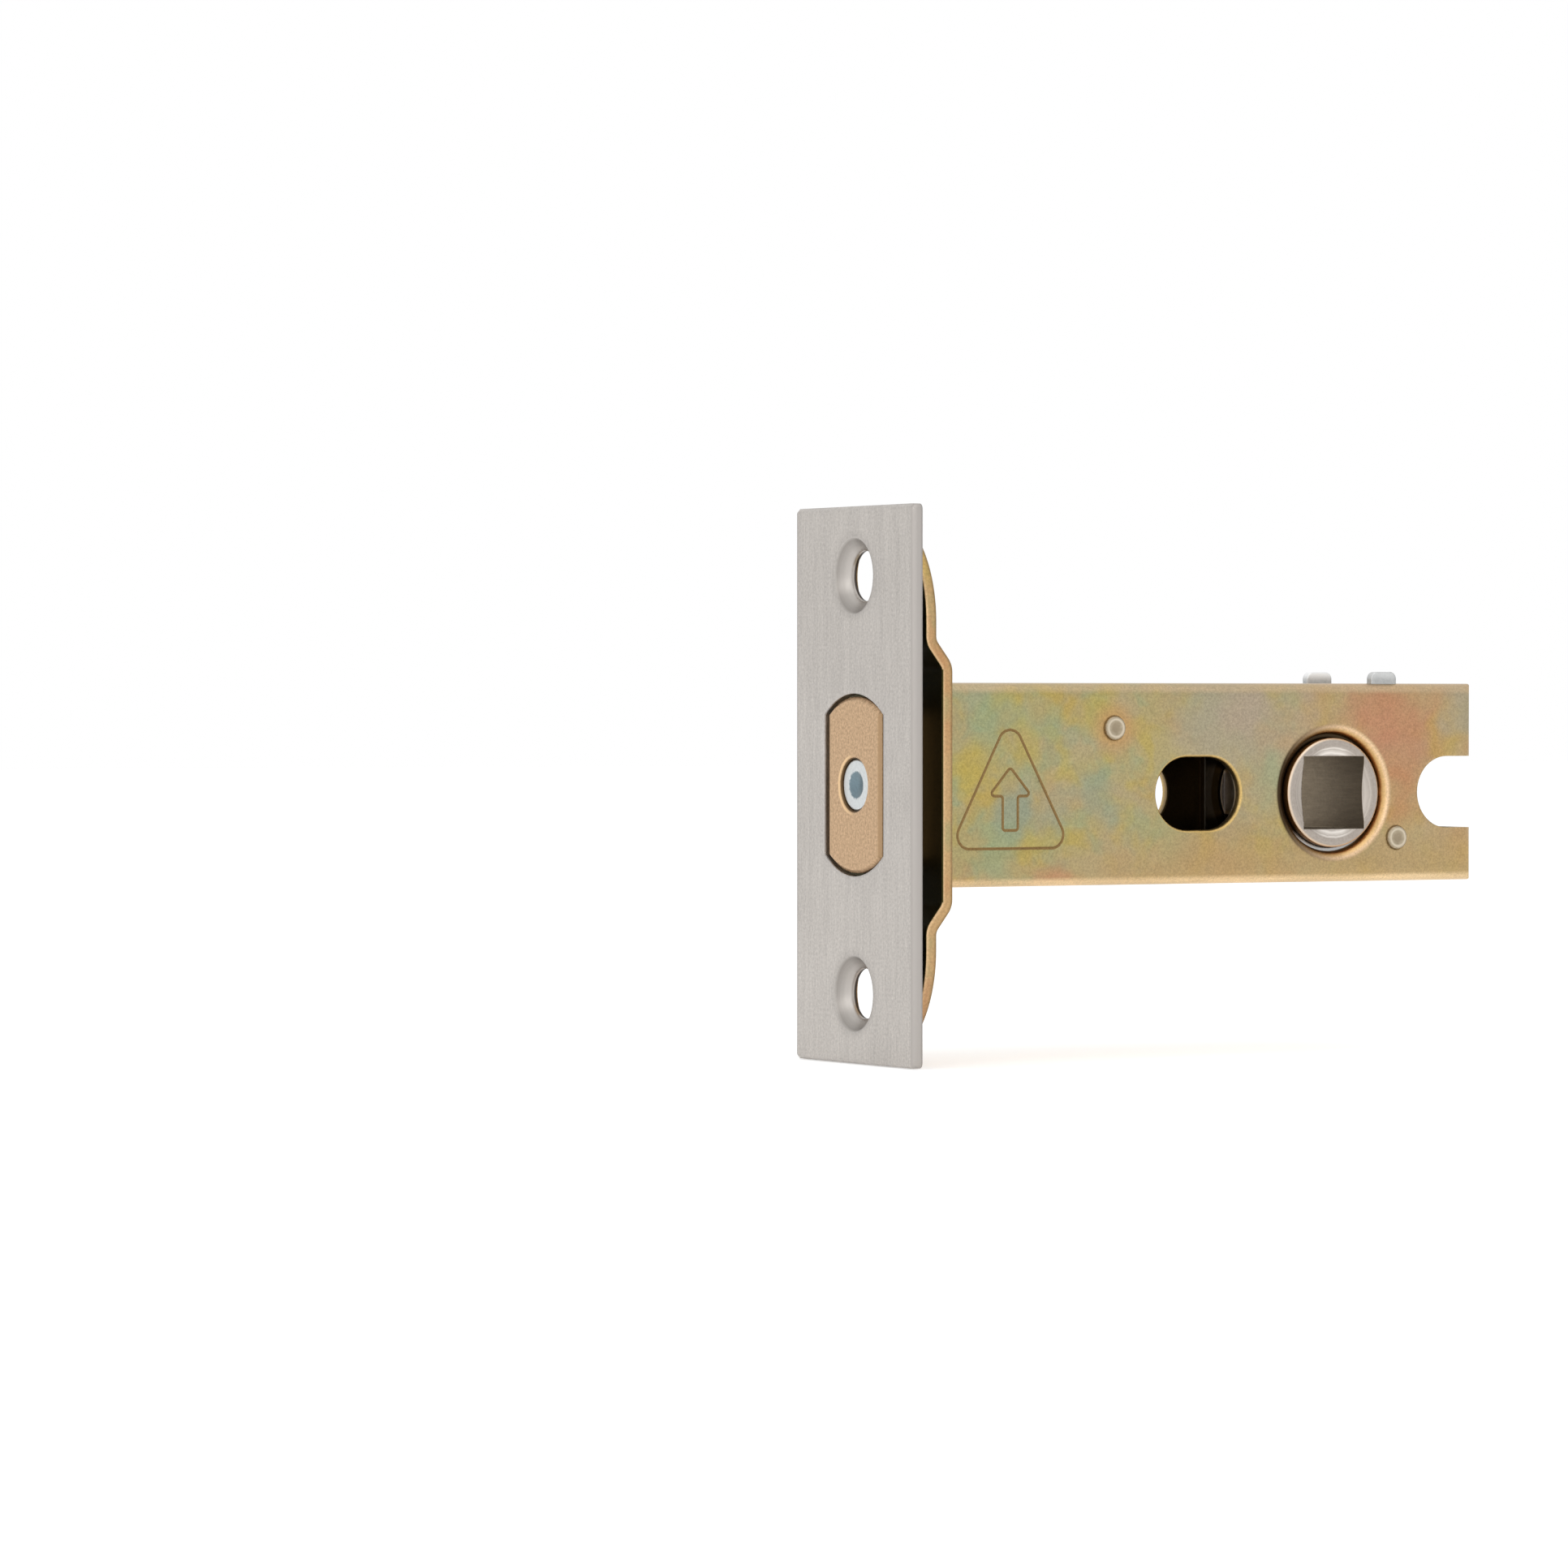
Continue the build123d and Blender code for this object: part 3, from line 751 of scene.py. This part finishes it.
def ringRivet(g, place, metal, look):
    # dark middle, and a painted highlight on a ring round it
    radius = g.math("MINIMUM", radiusFrom(g, place, frontRivetAt), radiusFrom(g, place, rearRivetAt))
    middle = g.spread(radius, *look["middleSpan"], look["middleShare"], 0.0, smooth=True)
    metal = g.mix(middle, metal, look["middle"])
    ring = g.math("ABSOLUTE", g.math("SUBTRACT", radius, look["ringRadius"]))
    return g.mix(g.spread(ring, look["ringHalf"], 0.0), metal, look["ring"])


def shineLug(g, place, metal, look):
    # lugs catch the light at their top, and the plate lies in shade round the follower, but not below it
    across, up = g.split(place)[1:]
    shine = g.spread(across, *look["shineAcross"], *look["shineShares"])
    shine = g.times(shine, g.spread(up, *look["shineSpan"], smooth=True))
    metal = g.mix(shine, metal, look["shine"])
    near = g.spread(radiusFrom(g, place, spindleAt), *look["shadeEdge"], 1.0, 0.0)
    return g.mix(g.times(near, g.spread(up, *look["shadeFrom"])), metal, look["shade"])


def makePlainMetal(name, look, marks):
    material, g, shader, place, grain, edge = startMetal(name, look)
    metal = g.mix(g.around(grain["Grain"]), look["dark"], look["colour"])
    metal = g.mix(g.times(edge["Wear"], look["wornShare"]), metal, look["worn"])
    if marks:
        metal = marks(g, place, metal, look)
    # painted shade on the works inside the case
    insideShade = g.times(inBox(g, place, paintedShadeRoom["centre"], paintedShadeRoom["worksHalf"]), look["oilShare"])
    g.put(g.mix(insideShade, metal, paintedShadeRoom["colour"]), shader.inputs["Base Color"])
    roughen(g, shader, look, grain["Grain"], less=0.08)
    bump(g, shader, grain["Height"], look["relief"], edge["Normal"], depth=0.03)
    return material


plainMarks = {"rivetSteel": ringRivet, "brightZinc": shineLug}
finishes = {}
for name, look in plainMetals.items():
    finishes[name] = makePlainMetal(name, {**plainLook, **look}, plainMarks.get(name))
finishes["satinSteel"] = makeSatinSteel(satinSteel)
finishes["caseZinc"] = makeCaseZinc({**yellowZinc, **caseFilm})
finishes["strapZinc"] = makeStrapZinc({**yellowZinc, **strapFilm})
finishes["mattBrass"] = makeMattBrass(mattBrass)
finishes["platedPin"] = makePlatedPin(platedPin)
finishes["dullNickel"] = makeDullNickel(dullNickel)
print("finishes:", ", ".join(sorted(finishes)))

nodeFinishes = {
    "forend_plate": "satinSteel",
    "inner_forend": "strapZinc",
    "case_right_half": "caseZinc",
    "case_left_half": "caseZinc",
    "front_case_rivet": "rivetSteel",
    "rear_case_rivet": "rivetSteel",
    "right_bearing_plate": "brightZinc",
    "left_bearing_plate": "brightZinc",
    "detent_spring": "springSteel",
    "bolt_head": "mattBrass",
    "anti_saw_pin": "platedPin",
    "bolt_tail": "tailSteel",
    "upper_tail_rivet": "tailSteel",
    "lower_tail_rivet": "tailSteel",
    "follower": "dullNickel",
}


def dress(obj, finish):
    obj.data.materials.clear()
    obj.data.materials.append(finishes[finish])


for name, finish in nodeFinishes.items():
    dress(nodes[name], finish)
print("dressed", len(nodeFinishes), "nodes")


# Scene helpers

def addObject(name, data):
    made = bpy.data.objects.new(name, data)
    bpy.context.scene.collection.objects.link(made)
    return made


def addMesh(name, mesh):
    data = bpy.data.meshes.new(name)
    mesh.to_mesh(data)
    mesh.free()
    return addObject(name, data)


def takeMesh(obj):
    # the mesh with its modifiers applied
    bpy.context.view_layer.update()
    return bpy.data.meshes.new_from_object(obj.evaluated_get(bpy.context.evaluated_depsgraph_get()))


def point(obj, place, direction):
    obj.location = place
    obj.rotation_mode = "QUATERNION"
    obj.rotation_quaternion = direction.to_track_quat("-Z", "Y")


# Right half of the case with its stamped mark: a rounded triangle and an arrow that points up

stamp = {
    "triangle": ((7.3, -6.86), (22.6, -6.86), (14.87, 7.6)),
    "triangleRound": 1.45,
    "triangleSteps": 8,
    "arrow": ((13.95, -4.9), (15.85, -4.9), (15.85, -1.2), (17.6, -1.2), (14.9, 1.9), (12.2, -1.2),
              (13.95, -1.2)),
    "arrowRound": 0.3,
    "arrowSteps": 4,
    "lineHalf": 0.18,
    "lineDepth": 0.16,
    "overrun": 0.1,
    "sharpAngle": 50,
    "evenWeight": 100,
}


def roundedLoop(corners, radius, steps):
    # corner points of a closed loop, each swapped for a short arc
    loop = []
    count = len(corners)
    for index, corner in enumerate(corners):
        here = Vector(corner)
        before = (Vector(corners[index - 1]) - here).normalized()
        after = (Vector(corners[(index + 1) % count]) - here).normalized()
        half = before.angle(after) / 2
        reach = radius / math.tan(half)
        middle = here + (before + after).normalized() * (radius / math.sin(half))
        first = here + before * reach - middle
        last = here + after * reach - middle
        for step in range(steps + 1):
            part = first.lerp(last, step / steps)
            loop.append(middle + part.normalized() * radius)
    return loop


def makeGrooveCutter(name, loop, look, face):
    # a wedge that follows the loop with its point sunk in the side of the case
    wide = look["lineHalf"] * mm * (look["lineDepth"] + look["overrun"]) / look["lineDepth"]
    proud = Vector((0, look["overrun"] * mm, 0))
    deep = Vector((0, look["lineDepth"] * mm, 0))
    mesh = bmesh.new()
    rings = []
    for index, spot in enumerate(loop):
        run = (loop[(index + 1) % len(loop)] - loop[index - 1]).normalized()
        aside = Vector((run.y, 0, -run.x)) * wide
        here = Vector((spot.x * mm, face, spot.y * mm))
        corners = (here + aside - proud, here - aside - proud, here + deep)
        rings.append([mesh.verts.new(corner) for corner in corners])
    for index, ring in enumerate(rings):
        before = rings[index - 1]
        for side in range(3):
            other = (side + 1) % 3
            mesh.faces.new((before[side], before[other], ring[other], ring[side]))
    bmesh.ops.recalc_face_normals(mesh, faces=mesh.faces)
    return addMesh(name, mesh)


def makeStampedCase(look):
    side = addObject("stamped_case_side", nodes["case_right_half"].data.copy())
    # the node's own normals don't fit the cut mesh
    side.data.attributes.remove(side.data.attributes["custom_normal"])
    welded = bmesh.new()
    welded.from_mesh(side.data)
    bmesh.ops.remove_doubles(welded, verts=welded.verts, dist=weld)
    welded.to_mesh(side.data)
    welded.free()
    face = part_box("case_right_half")[0].y
    cutters = []
    for shape in ("triangle", "arrow"):
        loop = roundedLoop(look[shape], look[shape + "Round"], look[shape + "Steps"])
        cutter = makeGrooveCutter(shape, loop, look, face)
        cut = side.modifiers.new(shape, "BOOLEAN")
        cut.operation = "DIFFERENCE"
        cut.solver = "EXACT"
        cut.use_self = True
        cut.object = cutter
        cutters.append(cutter)
    stamped = takeMesh(side)
    side.modifiers.clear()
    side.data = stamped
    stamped.shade_smooth()
    stamped.set_sharp_from_angle(angle=math.radians(look["sharpAngle"]))
    even = side.modifiers.new("even", "WEIGHTED_NORMAL")
    even.keep_sharp = True
    even.weight = look["evenWeight"]
    side.data = takeMesh(side)
    side.modifiers.clear()
    for cutter in cutters:
        bpy.data.objects.remove(cutter, do_unlink=True)
    dress(side, "caseZinc")
    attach(side, "case")
    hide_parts("case_right_half")
    print("stamped case side:", len(side.data.polygons), "faces")


makeStampedCase(stamp)


# Peened rivets: rolled edge and a shallow dish in each end

rivetEnd = {
    "edge": 0.26,
    "edgeSteps": 4,
    "dish": 0.1,
    "dishRadius": 0.8,
    "dishFlat": 0.55,
    "dishRim": 0.2,
    "turnSteps": 48,
}


def makeRivet(node, look):
    low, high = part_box(node)
    radius = (high.x - low.x) / 2
    half = (high.y - low.y) / 2
    middle = (low + high) / 2
    edge = look["edge"] * mm
    dish = look["dish"] * mm
    dishRadius = look["dishRadius"] * mm
    # half of the outline, from the middle of the end to the side: distance from the axis, then along it
    end = [(0.0, half - dish), (dishRadius * look["dishFlat"], half - dish),
           (dishRadius, half - dish * look["dishRim"])]
    for step in range(look["edgeSteps"] + 1):
        turn = math.radians(90 * step / look["edgeSteps"])
        end.append((radius - edge + edge * math.sin(turn), half - edge + edge * math.cos(turn)))
    profile = end + [(across, -along) for across, along in reversed(end)]
    mesh = bmesh.new()
    points = [mesh.verts.new(middle + Vector((across, along, 0))) for across, along in profile]
    line = [mesh.edges.new(pair) for pair in zip(points, points[1:])]
    bmesh.ops.spin(mesh, geom=points + line, cent=middle, axis=(0, 1, 0), angle=2 * math.pi,
                   steps=look["turnSteps"], use_merge=True)
    bmesh.ops.remove_doubles(mesh, verts=mesh.verts, dist=weld)
    bmesh.ops.recalc_face_normals(mesh, faces=mesh.faces)
    rivet = addMesh("peened_" + node, mesh)
    rivet.data.shade_smooth()
    dress(rivet, "rivetSteel")
    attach(rivet, "case")
    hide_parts(node)


for node in ("front_case_rivet", "rear_case_rivet"):
    makeRivet(node, rivetEnd)
print("rivets peened")


# Studio: white floor and surround, soft lamps, with lengths in metres

studio = {
    "floorDrop": 0.0001,
    "floorSize": 6.0,
    "floorColour": (0.86, 0.86, 0.86),
    "floorLift": 0.42,
    "roomLight": 0.75,
}


def seenRays(g):
    # 1 for rays that show the surround itself: camera, mirror and glass rays
    path = g.node("ShaderNodeLightPath").outputs
    seen = g.math("MAXIMUM", path["Is Camera Ray"], path["Is Glossy Ray"])
    return g.math("MAXIMUM", seen, path["Is Transmission Ray"])


def makeFloor(look):
    low = cadBox[0].z - look["floorDrop"]
    half = look["floorSize"] / 2
    corners = [(-half, -half, low), (half, -half, low), (half, half, low), (-half, half, low)]
    mesh = bpy.data.meshes.new("floor")
    mesh.from_pydata(corners, [], [(0, 1, 2, 3)])
    floor = addObject("floor", mesh)
    material, g, shader = newMetal("floorPaper", 1.0, metallic=0.0)
    g.put(look["floorColour"], shader.inputs["Base Color"])
    shader.inputs["Specular IOR Level"].default_value = 0.0
    g.put((1, 1, 1), shader.inputs["Emission Color"])
    g.put(g.times(seenRays(g), look["floorLift"]), shader.inputs["Emission Strength"])
    mesh.materials.append(material)


def makeWorld(look):
    world = bpy.data.worlds.new("studio")
    world.use_nodes = True
    bpy.context.scene.world = world
    g = Graph(world.node_tree)
    back = world.node_tree.nodes["Background"]
    g.put((1, 1, 1), back.inputs["Color"])
    g.put(g.spread(seenRays(g), 0.0, 1.0, look["roomLight"], 1.0), back.inputs["Strength"])


lamps = {
    "overheadLamp": {"at": (0.00, -0.35, 0.75), "aim": (0.03, 0, 0), "size": 0.7, "power": 0.9},
    "leftLamp": {"at": (-0.8, -0.35, 0.35), "aim": (0.03, 0, 0), "size": 0.6, "power": 0.8},
    "frontLamp": {"at": (-0.2, -1.0, 0.25), "aim": (0.04, 0, 0), "size": 0.3, "power": 0.5},
}


def makeLamp(name, look):
    lamp = bpy.data.lights.new(name, "AREA")
    lamp.shape = "DISK"
    lamp.size = look["size"]
    lamp.energy = look["power"]
    point(addObject(name, lamp), look["at"], Vector(look["aim"]) - Vector(look["at"]))


makeFloor(studio)
makeWorld(studio)
for name, look in lamps.items():
    makeLamp(name, look)


# Camera, fitted to the photograph's view

view = {
    "azimuth": -29.65,
    "elevation": 0.686,
    "distance": 0.7061,
    "target": (-0.008598, 0.0, 0.000212),
    "focalPixels": 8132.6,
    "imagePixels": 1932,
    "sensor": 36.0,
    "nearest": 0.01,
    "farthest": 20,
}


def makeCamera(look):
    turn = math.radians(look["azimuth"])
    rise = math.radians(look["elevation"])
    back = Vector((math.sin(turn) * math.cos(rise), -math.cos(turn) * math.cos(rise), math.sin(rise)))
    lens = bpy.data.cameras.new("camera")
    lens.sensor_fit = "HORIZONTAL"
    lens.sensor_width = look["sensor"]
    lens.lens = look["sensor"] * look["focalPixels"] / look["imagePixels"]
    lens.clip_start = look["nearest"]
    lens.clip_end = look["farthest"]
    camera = addObject("camera", lens)
    point(camera, Vector(look["target"]) + back * look["distance"], -back)
    bpy.context.scene.camera = camera


makeCamera(view)
bpy.context.scene.view_settings.view_transform = "Standard"
print("studio and camera ready")
